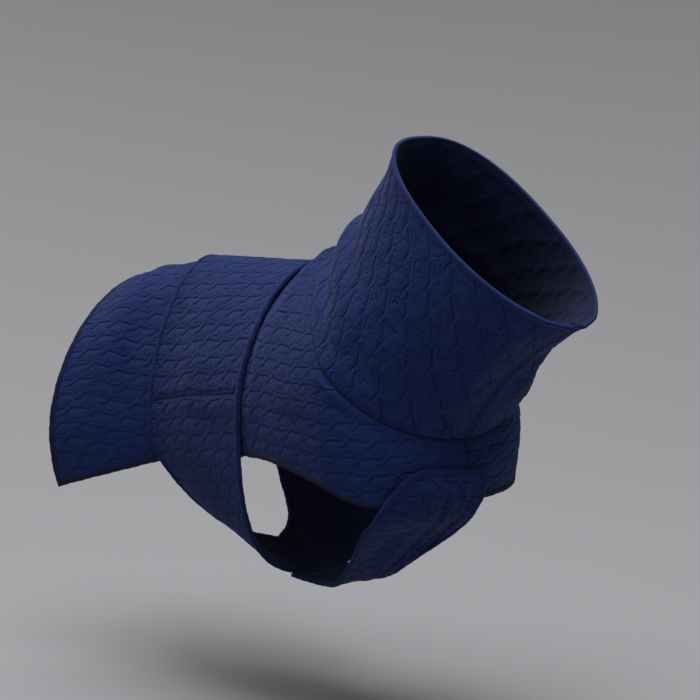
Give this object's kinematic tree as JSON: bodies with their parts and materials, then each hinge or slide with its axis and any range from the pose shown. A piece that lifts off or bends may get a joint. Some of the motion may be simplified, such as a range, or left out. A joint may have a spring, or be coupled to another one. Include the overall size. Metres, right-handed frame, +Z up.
{
  "type": "quilted dog coat",
  "caption": "Quilted cloth dog coat with a high funnel collar, a girth band over the back joined to a belly panel, and a chest strap that closes on the breast.",
  "frame": {"origin": "point on the inside of the back's middle line, below the front edge of the girth band, where the wearer's back carries the coat", "axes": "+X towards the wearer's head along the back, +Y to the wearer's left, +Z up"},
  "size_m": [0.4659, 0.1826, 0.3235],
  "materials": {
    "quilt": "matt quilted jersey with an embossed check",
    "binding": "matt stretch binding"
  },
  "bodies": {
    "root": {"coat_body": "quilt", "hem_binding": "binding", "collar": "quilt", "girth_band": "quilt", "belly_panel": "quilt", "band_binding_front": "binding", "band_binding_rear": "binding", "chest_strap": "quilt", "strap_binding": "binding"}
  },
  "joints": []
}
